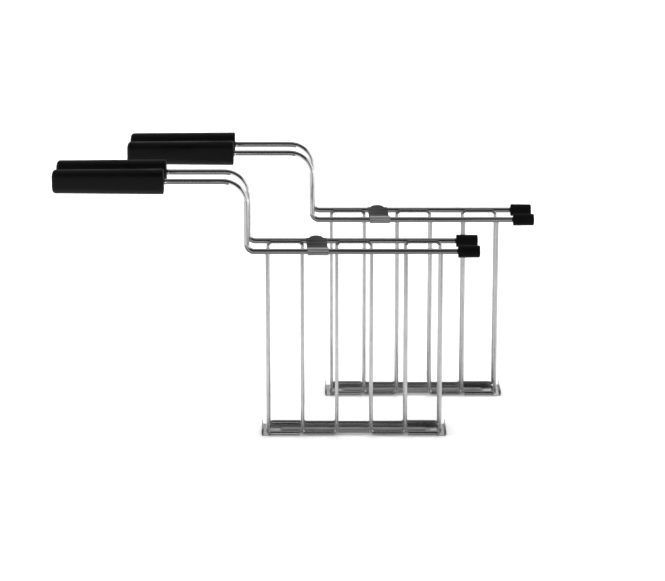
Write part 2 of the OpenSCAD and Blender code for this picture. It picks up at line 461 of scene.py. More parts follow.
@dataclass(frozen=True)
class DullClipSheet:
    """Dull rolled sheet: dark lined plate, with a lighter barrel that carries painted reflection
    bands round it.

    Attributes:
        name: material name.
        rail: Y and Z of the rail that the barrel turns on, in millimetres.
        plate_dark: reflectance between the plate's lines.
        plate_light: reflectance in the plate's lines.
        barrel_dark: colour between the barrel's painted reflection bands.
        barrel_light: colour in the barrel's painted reflection bands.
        barrel_metal: share of bare metal on the barrel, beside a matt bloom.
        barrel_r: radius inside which the surface counts as barrel.
        plate_pitch: distance between the plate's lines.
        plate_first: distance of one line from the rail's axis.
        barrel_lines: number of painted reflection bands round the barrel.
        barrel_first_deg: angle of one of them.
        rough: lowest and highest roughness.
        line_depth: depth of the fine lines, in millimetres.
    """

    name: str
    rail: tuple[float, float]
    plate_dark: float = 0.03
    plate_light: float = 0.14
    barrel_dark: float = 0.22
    barrel_light: float = 0.62
    barrel_metal: float = 0.6
    barrel_r: float = 3.05
    plate_pitch: float = 6.2
    plate_first: float = 9.7
    barrel_lines: int = 8
    barrel_first_deg: float = 164.0
    rough: tuple[float, float] = (0.25, 0.4)
    line_depth: float = 0.01

    def make(self) -> bpy.types.Material:
        """Builds the material."""
        graph = Graph(self.name)
        rail_y, rail_z = self.rail
        about = graph.place((0.0, 1000.0, 1000.0), (0.0, -rail_y, -rail_z))
        split = graph.add("ShaderNodeSeparateXYZ")
        graph.join(about, split.inputs[0])
        radius = graph.add("ShaderNodeVectorMath", operation="LENGTH")
        graph.join(about, radius.inputs[0])
        plate_share = graph.span(
            radius.outputs["Value"], self.barrel_r, self.barrel_r + 0.1, 0.0, 1.0
        )
        angle = graph.add("ShaderNodeMath", operation="ARCTAN2")
        graph.join(split.outputs["Z"], angle.inputs[0])
        graph.join(split.outputs["Y"], angle.inputs[1])
        # Painted reflection: lighter bands at set angles round the barrel.
        barrel_reflection_bands = graph.wave(
            angle.outputs[0],
            self.barrel_lines,
            -self.barrel_lines * math.radians(self.barrel_first_deg),
        )
        turn = FULL_TURN / self.plate_pitch
        flat_lines = graph.wave(split.outputs["Y"], turn, -turn * self.plate_first)
        fine = graph.noise(graph.place(GRAIN_ALONG_X), 2.6, 4.0, 0.7)
        plate = graph.blend(
            graph.span(graph.sum((flat_lines, 0.45), (fine, 1.1)), 0.4, 1.1, 0.0, 1.0),
            grey(self.plate_dark),
            grey(self.plate_light),
        )
        barrel = graph.blend(
            graph.span(graph.sum((barrel_reflection_bands, 0.9), (fine, 0.5)), 0.25, 1.1, 0.0, 1.0),
            grey(self.barrel_dark),
            grey(self.barrel_light),
        )
        both = graph.add("ShaderNodeMix", data_type="RGBA")
        graph.join(plate_share, both.inputs["Factor"])
        graph.join(barrel, both.inputs[6])
        graph.join(plate, both.inputs[7])
        graph.join(both.outputs[2], graph.shader.inputs["Base Color"])
        graph.join(graph.span(fine, 0.35, 0.65, *self.rough), graph.shader.inputs["Roughness"])
        graph.join(
            graph.span(plate_share, 0.0, 1.0, self.barrel_metal, 0.95),
            graph.shader.inputs["Metallic"],
        )
        graph.bump(fine, self.line_depth)
        return graph.material


@dataclass(frozen=True)
class MouldedBlack:
    """Black moulding with a fine pebbled grain.

    Attributes:
        name: material name.
        dark: colour in the grain's pits.
        light: colour on its tops, where hands have rubbed it.
        rough: lowest and highest roughness.
        gloss: the shader's specular level.
        pebble: size of the grain, in millimetres.
        depth: depth of the grain, in millimetres.
    """

    name: str
    dark: float = 0.0015
    light: float = 0.005
    rough: tuple[float, float] = (0.4, 0.6)
    gloss: float = 0.17
    pebble: float = 0.55
    depth: float = 0.05

    def make(self) -> bpy.types.Material:
        """Builds the material."""
        graph = Graph(self.name)
        place = graph.place(grey(1000.0 / self.pebble))
        pebbles = graph.cells(place, 1.0)
        dust = graph.noise(place, 2.3, 3.0, 0.6)
        hands = graph.noise(graph.place(grey(40.0)), 1.0, 3.0, 0.55)
        relief = graph.sum((pebbles, 0.75), (dust, 0.25))
        graph.join(
            graph.blend(
                graph.span(graph.sum((relief, 0.5), (hands, 0.5)), 0.3, 0.7, 0.0, 1.0),
                grey(self.dark),
                grey(self.light),
            ),
            graph.shader.inputs["Base Color"],
        )
        graph.join(
            graph.span(hands, 0.35, 0.65, *self.rough), graph.shader.inputs["Roughness"]
        )
        graph.shader.inputs["Specular IOR Level"].default_value = self.gloss
        graph.bump(relief, self.depth)
        return graph.material


ROD_FINISH = DrawnSteel("polished_rod")
WIRE_FINISH = DrawnSteel(
    "drawn_wire", light=0.57, dark=0.46, polish=0.2, dull=0.32, line_depth=0.005
)
WELD_FINISH = RolledSheet("weld_metal", light=0.5, dark=0.3, polish=0.3, dull=0.5)
HANDLE_FINISH = MouldedBlack("matte_handle_plastic")
CAP_FINISH = MouldedBlack(
    "cap_rubber", rough=(0.45, 0.65), gloss=0.15, pebble=0.4
)


# --------------------------------------------------------------------------- mesh helpers


def hand_over(mesh: bmesh.types.BMesh, name: str, material: bpy.types.Material) -> bpy.types.Object:
    """Turns a bmesh in millimetres into a smooth-shaded object in metres.

    Args:
        mesh: the finished mesh, which is freed.
        name: name of the piece.
        material: its finish.

    Returns:
        The new object, at the origin.
    """
    bmesh.ops.scale(mesh, vec=(MM, MM, MM), verts=mesh.verts)
    data = bpy.data.meshes.new(name)
    mesh.to_mesh(data)
    mesh.free()
    data.shade_smooth()
    data.set_sharp_from_angle(angle=SHARP_ANGLE)
    data.materials.append(material)
    piece = bpy.data.objects.new(name, data)
    bpy.context.scene.collection.objects.link(piece)
    return piece


def edges_in(made: Iterable[object], verts: set[bmesh.types.BMVert]) -> list[bmesh.types.BMEdge]:
    """The edges of an operator's result that lie wholly among some vertices."""
    return [
        item
        for item in made
        if isinstance(item, bmesh.types.BMEdge) and all(v in verts for v in item.verts)
    ]


@dataclass
class Stretch:
    """One straight or bent stretch of a bar's centre line, in the XZ plane.

    Attributes:
        start: where it starts, as a point of the plane.
        heading: direction at the start.
        side: direction to the bend's centre, or any one across a straight stretch.
        length: length along the centre line.
        begun: length of bar before it.
        bend: radius of the bend, or 0 for a straight stretch.
    """

    start: Vector
    heading: Vector
    side: Vector
    length: float
    begun: float
    bend: float = 0.0

    def read(self, point: Vector, reach: float) -> Optional[tuple[float, float]]:
        """Reads a point's place on this stretch.

        Args:
            point: the point in the XZ plane.
            reach: how far from the centre line a point may lie.

        Returns:
            The length along the bar and the distance towards the side, or None.
        """
        slack = 0.001
        away = point - self.start
        if self.bend == 0.0:
            along, across = away.dot(self.heading), away.dot(self.side)
            fits = -slack <= along <= self.length + slack and abs(across) <= reach + slack
            return (self.begun + along, across) if fits else None
        spoke = point - (self.start + self.side * self.bend)
        turn = math.atan2(spoke.dot(self.heading), -spoke.dot(self.side))
        across = self.bend - spoke.length
        fits = -slack <= turn <= QUARTER + slack and abs(across) <= reach + slack
        return (self.begun + self.bend * turn, across) if fits else None


@dataclass
class BentBar:
    """A round bar that follows right-angled corners in the XZ plane.

    Attributes:
        corners: the corners of its centre line, as X and Z.
        bends: centre-line radius at each inner corner.
        radius: radius of the bar.
        y: the plane that it lies in.
        sides: faces around the bar.
        steps: faces along each bend.
        chamfer: size of the chamfer on its two ends.
    """

    corners: Sequence[tuple[float, float]]
    bends: Sequence[float]
    radius: float
    y: float
    sides: int = 32
    steps: int = 10
    chamfer: float = 0.2
    stretches: list[Stretch] = field(default_factory=list)

    def point(self, flat: Vector) -> Vector:
        """A point of the XZ plane as a point in space."""
        return Vector((flat.x, self.y, flat.y))

    def sweep(self) -> bmesh.types.BMesh:
        """Extrudes and spins the round section along the corners.

        Returns:
            The bar as a closed mesh that carries its own coordinates.
        """
        mesh = bmesh.new()
        path = [Vector(corner) for corner in self.corners]
        heading = (path[1] - path[0]).normalized()
        turn = Vector((heading.x, 0.0, heading.y)).to_track_quat("Z", "Y")
        ring = bmesh.ops.create_circle(
            mesh,
            segments=self.sides,
            radius=self.radius,
            matrix=Matrix.Translation(self.point(path[0])) @ turn.to_matrix().to_4x4(),
        )["verts"]
        edges = edges_in({e for v in ring for e in v.link_edges}, set(ring))
        first = list(edges)
        begun = 0.0
        for i in range(1, len(path)):
            before = self.bends[i - 2] if i > 1 else 0.0
            after = self.bends[i - 1] if i < len(path) - 1 else 0.0
            length = (path[i] - path[i - 1]).length - before - after
            across = Vector((-heading.y, heading.x))
            start = path[i - 1] + heading * before
            self.stretches.append(Stretch(start, heading, across, length, begun))
            edges = self._extrude(mesh, edges, heading * length)
            begun += length
            if after:
                following = (path[i + 1] - path[i]).normalized()
                edges = self._bend(mesh, edges, path[i], heading, following, after)
                start = path[i] - heading * after
                self.stretches.append(
                    Stretch(start, heading, following, after * QUARTER, begun, after)
                )
                begun += after * QUARTER
                heading = following
        for loop in (first, edges):
            bmesh.ops.contextual_create(mesh, geom=loop)
        bmesh.ops.bevel(
            mesh,
            geom=[*first, *edges],
            offset=self.chamfer,
            segments=2,
            profile=0.5,
            affect="EDGES",
            material=-1,
        )
        bmesh.ops.recalc_face_normals(mesh, faces=mesh.faces)
        self._mark(mesh)
        return mesh

    def _extrude(
        self, mesh: bmesh.types.BMesh, edges: list[bmesh.types.BMEdge], move: Vector
    ) -> list[bmesh.types.BMEdge]:
        """Pulls the open end along a straight stretch and returns its new edges."""
        made = bmesh.ops.extrude_edge_only(mesh, edges=edges)["geom"]
        verts = {item for item in made if isinstance(item, bmesh.types.BMVert)}
        bmesh.ops.translate(mesh, verts=list(verts), vec=(move.x, 0.0, move.y))
        return edges_in(made, verts)

    def _bend(
        self,
        mesh: bmesh.types.BMesh,
        edges: list[bmesh.types.BMEdge],
        corner: Vector,
        heading: Vector,
        following: Vector,
        radius: float,
    ) -> list[bmesh.types.BMEdge]:
        """Spins the open end round a quarter bend and returns its new edges."""
        ahead = Vector((heading.x, 0.0, heading.y))
        aside = Vector((following.x, 0.0, following.y))
        verts = {v for e in edges for v in e.verts}
        made = bmesh.ops.spin(
            mesh,
            geom=[*edges, *verts],
            cent=self.point(corner + (following - heading) * radius),
            axis=ahead.cross(aside),
            dvec=(0.0, 0.0, 0.0),
            angle=QUARTER,
            steps=self.steps,
        )["geom_last"]
        last = {item for item in made if isinstance(item, bmesh.types.BMVert)}
        return edges_in(made, last)

    def _mark(self, mesh: bmesh.types.BMesh) -> None:
        """Writes each vertex's length along the bar and place on its section."""
        layer = mesh.verts.layers.float_vector.new(BAR_ATTRIBUTE)
        for vert in mesh.verts:
            flat = Vector((vert.co.x, vert.co.z))
            for stretch in self.stretches:
                found = stretch.read(flat, self.radius)
                if found:
                    vert[layer] = (found[0], found[1], vert.co.y - self.y)
                    break


def refined_copy(
    node: str,
    name: str,
    material: bpy.types.Material,
    edge: float,
    warp: Optional[Matrix] = None,
    fold_deg: float = 35.0,
) -> bpy.types.Object:
    """Copies a CAD node and rounds the sheet's cut edges.

    Args:
        node: the CAD node.
        name: name of the new piece.
        material: its finish.
        edge: how far the edges are rounded, in millimetres.
        warp: a slight change of the copy's shape, in millimetres, or None.
        fold_deg: angle above which an edge counts as cut rather than rolled.

    Returns:
        The new piece.
    """
    mesh = bmesh.new()
    mesh.from_mesh(bpy.data.objects[node].data)
    bmesh.ops.scale(mesh, vec=grey(1.0 / MM), verts=mesh.verts)
    bmesh.ops.remove_doubles(mesh, verts=mesh.verts, dist=0.0005)
    bmesh.ops.dissolve_limit(
        mesh, angle_limit=math.radians(0.5), verts=mesh.verts, edges=mesh.edges
    )
    cut = [
        e
        for e in mesh.edges
        if e.is_manifold and e.calc_face_angle(0.0) > math.radians(fold_deg)
    ]
    bmesh.ops.bevel(
        mesh,
        geom=cut,
        offset=edge,
        segments=2,
        profile=0.5,
        affect="EDGES",
        clamp_overlap=True,
        material=-1,
    )
    if warp is not None:
        bmesh.ops.transform(mesh, matrix=warp, verts=mesh.verts)
    piece = hand_over(mesh, name, material)
    weigh = piece.modifiers.new("even_shading", "WEIGHTED_NORMAL")
    weigh.keep_sharp = True
    return piece


# --------------------------------------------------------------------------- sub-assemblies


@dataclass
class CagePanel:
    """A cage panel: its bent wire, rail rod, handle, end cap and welds.

    Attributes:
        rack: the rack that it belongs to.
        side: front or back.
        finishes: the rack's materials.
        weld_inset: how far along the rail a weld lies from its wire's bend.
        weld_size: half sizes of a weld along, across and up.
    """

    rack: RackPlace
    side: Side
    finishes: Finishes
    wire_r: float = 1.25
    wire_count: int = 6
    wire_pitch: float = 25.0
    wire_bend: float = 3.0
    pin_bend: float = 2.0
    hinge_y: float = 13.3
    hinge_z: float = 1.83
    pin_end: float = 39.65
    rod_r: float = 2.0
    rod_y: float = 16.45
    rail_z: float = 138.9
    handle_z: float = 190.0
    neck_x: float = -77.0
    neck_bend: float = 17.0
    rail_bend: float = 5.3
    tang_end: float = -195.6
    rail_end: float = 88.0
    cap_end: float = 90.0
    weld_inset: float = 1.5
    weld_size: tuple[float, float, float] = (1.7, 0.5, 0.95)

    @property
    def body(self) -> str:
        """The CAD body that the panel rides on."""
        return f"{self.rack.name}_{self.side.word}_panel"

    def name(self, piece: str) -> str:
        """A piece's name, which is also its CAD node's."""
        return f"{self.rack.name}_{self.side.word}_{piece}"

    def across(self, distance: float) -> float:
        """A distance from the rack's middle as Y in the set, on this panel's side."""
        return self.rack.y + self.side.value * distance

    def wire_x(self, index: int) -> float:
        """X of an upright wire from the rack's middle."""
        return (index - (self.wire_count - 1) / 2) * self.wire_pitch

    def build(self) -> list[bpy.types.Object]:
        """Builds every piece of the panel.

        Returns:
            The pieces, each riding on the panel's body.
        """
        made = [
            self.build_rod(),
            self.build_wires(),
            self.build_welds(),
            Handle(self).build(),
            EndCap(self).build(),
        ]
        for piece in made:
            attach(piece, self.body)
        return made

    def build_rod(self) -> bpy.types.Object:
        """The rail rod, from inside the handle to inside the cap."""
        shift = self.rack.x
        bar = BentBar(
            corners=[
                (shift + self.tang_end, self.handle_z),
                (shift + self.neck_x, self.handle_z),
                (shift + self.neck_x, self.rail_z),
                (shift + self.rail_end, self.rail_z),
            ],
            bends=[self.neck_bend, self.rail_bend],
            radius=self.rod_r,
            y=self.across(self.rod_y),
            sides=48,
            steps=16,
        )
        piece = hand_over(bar.sweep(), self.name("rail_rod"), self.finishes.rod)
        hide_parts(self.name("rod"))
        return piece

    def build_wires(self) -> bpy.types.Object:
        """The one wire that makes the whole cage panel."""
        shift = self.rack.x
        corners = [(shift - self.pin_end, self.hinge_z)]
        for i in range(self.wire_count):
            levels = (self.hinge_z, self.rail_z)
            for level in levels if i % 2 == 0 else reversed(levels):
                corners.append((shift + self.wire_x(i), level))
        corners.append((shift + self.pin_end, self.hinge_z))
        bends = [self.wire_bend] * (len(corners) - 2)
        bends[0] = bends[-1] = self.pin_bend
        bar = BentBar(corners, bends, self.wire_r, self.across(self.hinge_y), sides=28)
        piece = hand_over(bar.sweep(), self.name("cage_wire"), self.finishes.wire)
        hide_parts(self.name("wires"))
        return piece

    def build_welds(self) -> bpy.types.Object:
        """The small welds where the wire's arches lie against the rail."""
        mesh = bmesh.new()
        reach = self.wire_bend + self.weld_inset
        for i in range(0, self.wire_count, 2):
            for end in (self.wire_x(i) + reach, self.wire_x(i + 1) - reach):
                at = Vector(
                    (self.rack.x + end, self.across(self.hinge_y + self.wire_r), self.rail_z)
                )
                bmesh.ops.create_icosphere(
                    mesh,
                    subdivisions=3,
                    radius=1.0,
                    matrix=Matrix.Translation(at) @ Matrix.Diagonal((*self.weld_size, 1.0)),
                )
        piece = hand_over(mesh, self.name("welds"), self.finishes.weld)
        return piece


@dataclass
class Handle:
    """The moulded handle on a rail rod's tang.

    Attributes:
        panel: the panel that it belongs to.
        crown: how far the free end's face swells.
        crown_steps: inset and share of the swell at each step.
    """

    panel: CagePanel
    outer_x: float = -215.1
    inner_x: float = -135.6
    depth: float = 13.0
    outer_height: float = 16.6
    inner_height: float = 17.8
    corner: float = 5.0
    outer_round: float = 2.6
    inner_round: float = 0.9
    crown: float = 0.35
    crown_steps: tuple[tuple[float, float], ...] = ((0.8, 0.55), (1.0, 0.3), (0.8, 0.15))

    def build(self) -> bpy.types.Object:
        """Shapes the handle from a block.

        Returns:
            The handle, which stands for its CAD node.
        """
        panel = self.panel
        length = self.inner_x - self.outer_x - self.crown
        mesh = bmesh.new()
        bmesh.ops.create_cube(mesh, size=1.0)
        bmesh.ops.scale(mesh, vec=(length, self.depth, self.inner_height), verts=mesh.verts)
        free = [v for v in mesh.verts if v.co.x < 0.0]
        taper = self.outer_height / self.inner_height
        bmesh.ops.scale(mesh, vec=(1.0, 1.0, taper), verts=free)
        long_edges = [e for e in mesh.edges if abs(e.verts[0].co.x - e.verts[1].co.x) > 1.0]
        self._round(mesh, long_edges, self.corner, 10)
        for sign, size in ((-1.0, self.outer_round), (1.0, self.inner_round)):
            self._round(mesh, self._end_loop(mesh, sign * length / 2), size, 6)
        self._crown(mesh, -length / 2)
        bmesh.ops.translate(
            mesh,
            verts=mesh.verts,
            vec=(
                panel.rack.x + (self.outer_x + self.crown + self.inner_x) / 2,
                panel.across(panel.rod_y),
                panel.handle_z,
            ),
        )
        piece = hand_over(mesh, panel.name("grip"), panel.finishes.handle)
        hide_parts(panel.name("handle"))
        return piece

    def _round(
        self,
        mesh: bmesh.types.BMesh,
        edges: list[bmesh.types.BMEdge],
        size: float,
        segments: int,
    ) -> None:
        """Rounds some edges of the handle."""
        bmesh.ops.bevel(
            mesh,
            geom=edges,
            offset=size,
            segments=segments,
            profile=0.5,
            affect="EDGES",
            material=-1,
        )

    def _end_loop(self, mesh: bmesh.types.BMesh, x: float) -> list[bmesh.types.BMEdge]:
        """The edges of the handle's end face at X."""
        slack = 0.01
        return [e for e in mesh.edges if all(abs(v.co.x - x) < slack for v in e.verts)]

    def _crown(self, mesh: bmesh.types.BMesh, x: float) -> None:
        """Swells the free end's face a little, in three steps."""
        slack = 0.01
        face = max(
            (f for f in mesh.faces if all(abs(v.co.x - x) < slack for v in f.verts)),
            key=lambda f: f.calc_area(),
        )
        for inset, rise in self.crown_steps:
            bmesh.ops.inset_region(mesh, faces=[face], thickness=inset, depth=0.0)
            bmesh.ops.translate(
                mesh, verts=face.verts, vec=(-rise * self.crown, 0.0, 0.0)
            )


@dataclass
class EndCap:
    """The cap pushed over a rail's free end.

    Attributes:
        panel: the panel that it belongs to.
        lip: size of the chamfer at the open end.
        mouth_flare: how much the mouth widens at the open end.
        mouth_depth: how deep that widening goes.
    """

    panel: CagePanel
    length: float = 15.7
    open_r: float = 4.55
    nose_r: float = 4.4
    edge_r: float = 1.1
    lip: float = 0.45
    mouth_r: float = 2.02
    mouth_flare: float = 0.35
    mouth_depth: float = 1.2
    turns: int = 56

    def profile(self) -> list[tuple[float, float]]:
        """The cap's half section, as distance from the open end and radius."""
        rounds = 6
        nose = [
            (
                self.length - self.edge_r * (1.0 - math.sin(QUARTER * i / rounds)),
                self.nose_r - self.edge_r * (1.0 - math.cos(QUARTER * i / rounds)),
            )
            for i in range(rounds + 1)
        ]
        return [
            (self.mouth_depth, self.mouth_r),
            (0.0, self.mouth_r + self.mouth_flare),
            (0.0, self.open_r - self.lip),
            (self.lip * 0.35, self.open_r - self.lip * 0.35),
            (self.lip, self.open_r),
            *nose,
            (self.length, 0.0),
        ]

    def build(self) -> bpy.types.Object:
        """Spins the half section round the rail.

        Returns:
            The cap, which stands for its CAD node.
        """
        panel = self.panel
        mesh = bmesh.new()
        verts = [mesh.verts.new((x, 0.0, r)) for x, r in self.profile()]
        edges = [mesh.edges.new(pair) for pair in zip(verts, verts[1:])]
        bmesh.ops.spin(
            mesh,
            geom=[*verts, *edges],
            cent=(0.0, 0.0, 0.0),
            axis=(1.0, 0.0, 0.0),
            dvec=(0.0, 0.0, 0.0),
            angle=FULL_TURN,
            steps=self.turns,
            use_merge=True,
        )
        bmesh.ops.remove_doubles(mesh, verts=mesh.verts, dist=0.001)
        bmesh.ops.holes_fill(mesh, edges=[e for e in mesh.edges if e.is_boundary])
        bmesh.ops.recalc_face_normals(mesh, faces=mesh.faces)
        bmesh.ops.translate(
            mesh,
            verts=mesh.verts,
            vec=(
                panel.rack.x + panel.cap_end - self.length,
                panel.across(panel.rod_y),
                panel.rail_z,
            ),
        )
        piece = hand_over(mesh, panel.name("end_cap"), panel.finishes.cap)
        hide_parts(panel.name("cap"))
        return piece


@dataclass
class Tray:
    """The folded base tray of a rack.

    Attributes:
        rack: the rack that it belongs to.
        edge: how far its cut edges are rounded.
        end_x: distance from its middle at which its ends turn up.
    """

    rack: RackPlace
    edge: float = 0.09
    end_x: float = 65.6

    def build(self) -> list[bpy.types.Object]:
        """Refines the tray's CAD solid.

        Returns:
            The tray, riding on the rack's base.
        """
        node = f"{self.rack.name}_tray"
        finish = RolledSheet(f"{node}_steel", middle_x=self.rack.x, end_x=self.end_x)
        piece = refined_copy(node, f"{node}_sheet", finish.make(), self.edge)
        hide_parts(node)
        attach(piece, f"{self.rack.name}_base")
        return [piece]


@dataclass
class LatchClip:
    """The clip that turns on the front rail and lies over the back rail.

    Attributes:
        rack: the rack that it belongs to.
        edge: how far its cut edges are rounded.
        skew: how far its plate runs askew, as a share of its reach.
        rail_y: the front rail's distance from the rack's middle.
        rail_z: height of the rails.
    """

    rack: RackPlace
    edge: float = 0.12
    skew: float = -0.05
    rail_y: float = 16.45
    rail_z: float = 138.9

    def build(self) -> list[bpy.types.Object]:
        """Refines the clip's CAD solid.

        Returns:
            The clip, riding on the latch body.
        """
        node = f"{self.rack.name}_clip"
        rail = (self.rack.y - self.rail_y, self.rail_z)
        finish = DullClipSheet(f"{node}_steel", rail)
        askew = Matrix.Identity(4)
        askew[0][1] = self.skew
        askew[0][3] = -self.skew * rail[0]
        piece = refined_copy(node, f"{node}_plate", finish.make(), self.edge, askew)
        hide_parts(node)
        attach(piece, f"{self.rack.name}_latch")
        return [piece]


@dataclass
class Finishes:
    """The materials that both racks share."""

    rod: bpy.types.Material
    wire: bpy.types.Material
    weld: bpy.types.Material
    handle: bpy.types.Material
    cap: bpy.types.Material

    @classmethod
    def make(cls) -> Finishes:
        """Builds every material once."""
        return cls(
            rod=ROD_FINISH.make(),
            wire=WIRE_FINISH.make(),
            weld=WELD_FINISH.make(),
            handle=HANDLE_FINISH.make(),
            cap=CAP_FINISH.make(),
        )


@dataclass
class SandwichRack:
    """One rack: tray, two cage panels and latch clip.

    Attributes:
        place: where it stands.
        finishes: the materials.
    """

    place: RackPlace
    finishes: Finishes

    def build(self) -> list[bpy.types.Object]:
        """Builds the rack.

        Returns:
            All of its pieces.
        """
        made = Tray(self.place).build()
        for side in Side:
            made += CagePanel(self.place, side, self.finishes).build()
        made += LatchClip(self.place).build()
        return made


# --------------------------------------------------------------------------- studio


@dataclass(frozen=True)
class Flag:
    """A level grey card that only mirrors see, under some rods or before a tray: painted
    reflection, a glowing sheet that darkens what those rods and trays mirror.

    Attributes:
        name: its name.
        x: its least and greatest X, in metres.
        y: its least and greatest Y, in metres.
        z: its height, in metres.
        level: its brightness.
    """

    name: str
    x: tuple[float, float]
    y: tuple[float, float]
    z: float
    level: float = 0.23


@dataclass(frozen=True)
class Studio:
    """White floor and surroundings, soft lamps, and the cards that metal reflects.

    Attributes:
        floor_half: half the floor's width, in metres.
        floor_cover: diffuse colour of the floor.
        glow_near: share of the floor's white beside the racks that no shadow touches.
        glow_far: the same share far from them, where the lamps reach less.
        sky: strength of the world on matt surfaces.
        flags: the level cards near the racks, which paint darker reflections into the rods and
            trays.
        arch_radius: radius of the dark arch, in metres.
        arch_half_width: half its length along X, in metres.
        arch_stops: brightness of the arch, by degrees up from the front.
        ring_radius: radius of the low ring, in metres.
        ring_height: height of the low ring, in metres.
        ring_stops: brightness of the ring, by degrees left of the camera.
    """

    floor_half: float = 9.0
    floor_cover: float = 0.97
    glow_near: float = 0.15
    glow_far: float = 0.5
    sky: float = 0.68
    # Painted reflection: glowing cards that mirrors alone see, darkening the rods' undersides and
    # the trays' fronts.
    flags: tuple[Flag, ...] = (
        Flag("flag_under_rail_1", (-0.06, 0.13), (-0.09, -0.0655), 0.1365),
        Flag("flag_under_rail_2", (-0.06, 0.13), (-0.06, -0.0325), 0.1365),
        Flag("flag_under_rail_3", (-0.014, 0.18), (0.012, 0.0365), 0.1365),
        Flag("flag_under_rail_4", (-0.014, 0.18), (0.042, 0.0695), 0.1365),
        Flag("flag_under_tang_1", (-0.095, -0.05), (-0.09, -0.0655), 0.1876),
        Flag("flag_under_tang_2", (-0.095, -0.05), (-0.06, -0.0325), 0.1876),
        Flag("flag_under_tang_3", (-0.049, -0.004), (0.012, 0.0365), 0.1876),
        Flag("flag_under_tang_4", (-0.049, -0.004), (0.042, 0.0695), 0.1876),
        Flag("flag_before_tray_1", (-0.05, 0.13), (-0.1, -0.0655), 0.00005),
        Flag("flag_before_tray_2", (-0.004, 0.176), (0.002, 0.0365), 0.00005),
    )
    arch_radius: float = 2.6
    arch_half_width: float = 3.0
    arch_stops: tuple[tuple[float, float], ...] = (
        (0, 0.06),
        (12, 0.04),
        (60, 0.02),
        (80, 0.1),
        (96, 0.34),
        (130, 0.3),
        (150, 0.08),
        (158, 0.45),
        (180, 0.55),
    )
    ring_radius: float = 0.5
    ring_height: float = 0.128
    ring_stops: tuple[tuple[float, float], ...] = (
        (-180, 0.5),
        (-150, 1.0),
        (-36, 1.0),
        (-31, 0.02),
        (-12, 0.02),
        (-7, 0.6),
        (10, 0.66),
        (100, 0.8),
        (140, 0.6),
        (180, 0.5),
    )

    def build(self) -> None:
        """Builds the whole studio."""
        self._world()
        self._floor()
        self._arch()
        self._ring()
        # Painted reflection: each card glows grey for mirrors alone.
        for flag in self.flags:
            card = self._plane(flag.name, (*flag.x, *flag.y, flag.z))
            self._only_in_mirrors(card)
            self._glow(card, flag.level)
        self._lamp("back_panel", (0.1, 1.0, 1.3), (1.6, 0.8), 15.0)
        self._lamp("left_panel", (-1.6, -0.5, 1.0), (0.9, 0.9), 6.0)

    def _world(self) -> None:
        """White surroundings, a little weaker on matt surfaces."""
        world = bpy.data.worlds.new("white_room")
        bpy.context.scene.world = world
        world.use_nodes = True
        tree = world.node_tree
        back = tree.nodes["Background"]
        back.inputs["Color"].default_value = (1.0, 1.0, 1.0, 1.0)
        seen = self._seen_or_mirrored(tree)
        strength = tree.nodes.new("ShaderNodeMapRange")
        tree.links.new(seen, strength.inputs["Value"])
        strength.inputs["To Min"].default_value = self.sky
        strength.inputs["To Max"].default_value = 1.0
        tree.links.new(strength.outputs["Result"], back.inputs["Strength"])

    def _seen_or_mirrored(self, tree: bpy.types.NodeTree) -> bpy.types.NodeSocket:
        """One for rays from the camera, a mirror or glass, and nought for the rest."""
        path = tree.nodes.new("ShaderNodeLightPath")
        total = path.outputs["Is Camera Ray"]
        for kind in ("Is Glossy Ray", "Is Transmission Ray"):
            both = tree.nodes.new("ShaderNodeMath")
            both.operation = "MAXIMUM"
            tree.links.new(total, both.inputs[0])
            tree.links.new(path.outputs[kind], both.inputs[1])
            total = both.outputs[0]
        return total

    def _stage_piece(self, mesh: bmesh.types.BMesh, name: str) -> bpy.types.Object:
        """Turns a bmesh in metres into a piece of the stage."""
        data = bpy.data.meshes.new(name)
        mesh.to_mesh(data)
        mesh.free()
        piece = bpy.data.objects.new(name, data)
        bpy.context.scene.collection.objects.link(piece)
        return piece

    def _plane(self, name: str, size: Sequence[float]) -> bpy.types.Object:
        """A flat stage piece.

        Args:
            name: its name.
            size: lowest X, highest X, lowest Y, highest Y and height, in metres.

        Returns:
            The piece.
        """
        mesh = bmesh.new()
        bmesh.ops.create_grid(mesh, x_segments=1, y_segments=1, size=0.5)
        low_x, high_x, low_y, high_y, level = size
        bmesh.ops.scale(mesh, vec=(high_x - low_x, high_y - low_y, 1.0), verts=mesh.verts)
        middle = ((low_x + high_x) / 2, (low_y + high_y) / 2, level)
        bmesh.ops.translate(mesh, vec=middle, verts=mesh.verts)
        return self._stage_piece(mesh, name)

    def _spun(
        self,
        name: str,
        foot: Sequence[Sequence[float]],
        axis: Sequence[float],
        angle: float,
        steps: int,
    ) -> bpy.types.Object:
        """A curved stage piece, spun from one edge about the origin.

        Args:
            name: its name.
            foot: the edge's two ends, in metres.
            axis: what it turns about.
            angle: how far it turns.
            steps: number of faces.

        Returns:
            The piece, seen by mirrors alone.
        """
        mesh = bmesh.new()
        ends = [mesh.verts.new(end) for end in foot]
        edge = mesh.edges.new(ends)
        bmesh.ops.spin(
            mesh,
            geom=[*ends, edge],
            cent=(0.0, 0.0, 0.0),
            axis=axis,
            dvec=(0.0, 0.0, 0.0),
            angle=angle,
            steps=steps,
        )
        piece = self._stage_piece(mesh, name)
        self._only_in_mirrors(piece)
        return piece

